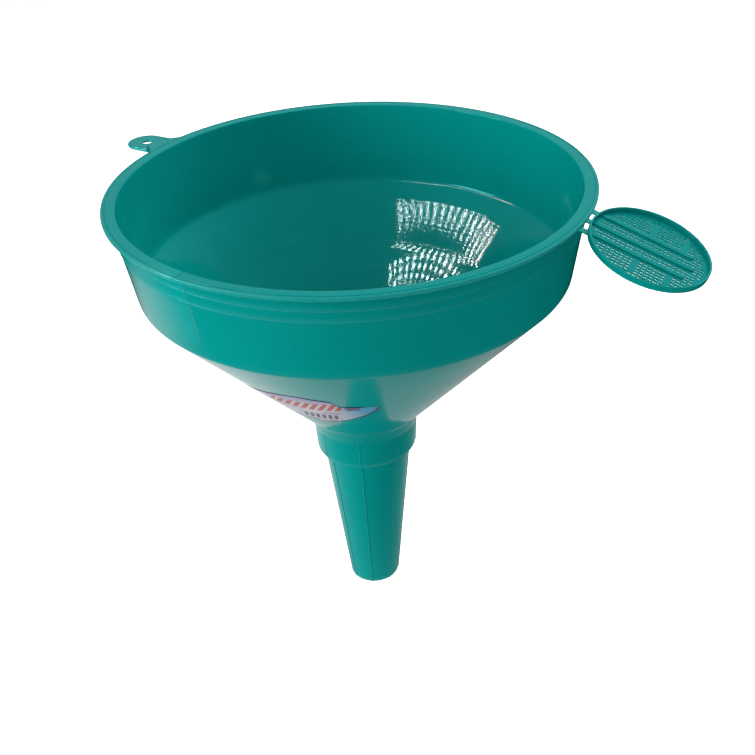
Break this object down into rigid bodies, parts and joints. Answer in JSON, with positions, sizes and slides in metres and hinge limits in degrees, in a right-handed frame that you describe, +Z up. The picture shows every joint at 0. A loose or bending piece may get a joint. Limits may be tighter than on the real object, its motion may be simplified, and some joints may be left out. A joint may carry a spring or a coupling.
{
  "type": "strainer funnel",
  "caption": "Large one-piece fluid funnel with a straight band under its rim, a cone, a tapered ribbed spout, a hang tab and a small strainer moulded on by thin webs.",
  "frame": {"origin": "centre of the spout's outlet, on the funnel's axis", "axes": "+Z up along the funnel's axis from the outlet to the mouth; -Y towards the side the label is seen from; +X to the strainer's side"},
  "size_m": [0.2932, 0.25, 0.2641],
  "materials": {
    "teal_plastic": "gloss",
    "label_paper": "satin"
  },
  "bodies": {
    "funnel": {"rim_flange": "teal_plastic", "bowl_band": "teal_plastic", "cone": "teal_plastic", "neck_collar": "teal_plastic", "spout": "teal_plastic", "spout_ribs": "teal_plastic", "hang_tab": "teal_plastic", "label": "label_paper"},
    "strainer": {"strainer_rim": "teal_plastic", "strainer_mesh": "teal_plastic", "strainer_flow_ribs": "teal_plastic", "web_front": "teal_plastic", "web_middle": "teal_plastic", "web_back": "teal_plastic"}
  },
  "joints": [
    {"name": "strainer_flex", "type": "hinge", "parent": "funnel", "child": "strainer", "pos_m": [0.11159, -0.05809, 0.26173], "axis": [-0.4617, -0.887, 0], "range_deg": [-70, 60], "stiffness_Nm_per_rad": 0.5, "deforming": ["web_front", "web_middle", "web_back"]}
  ]
}
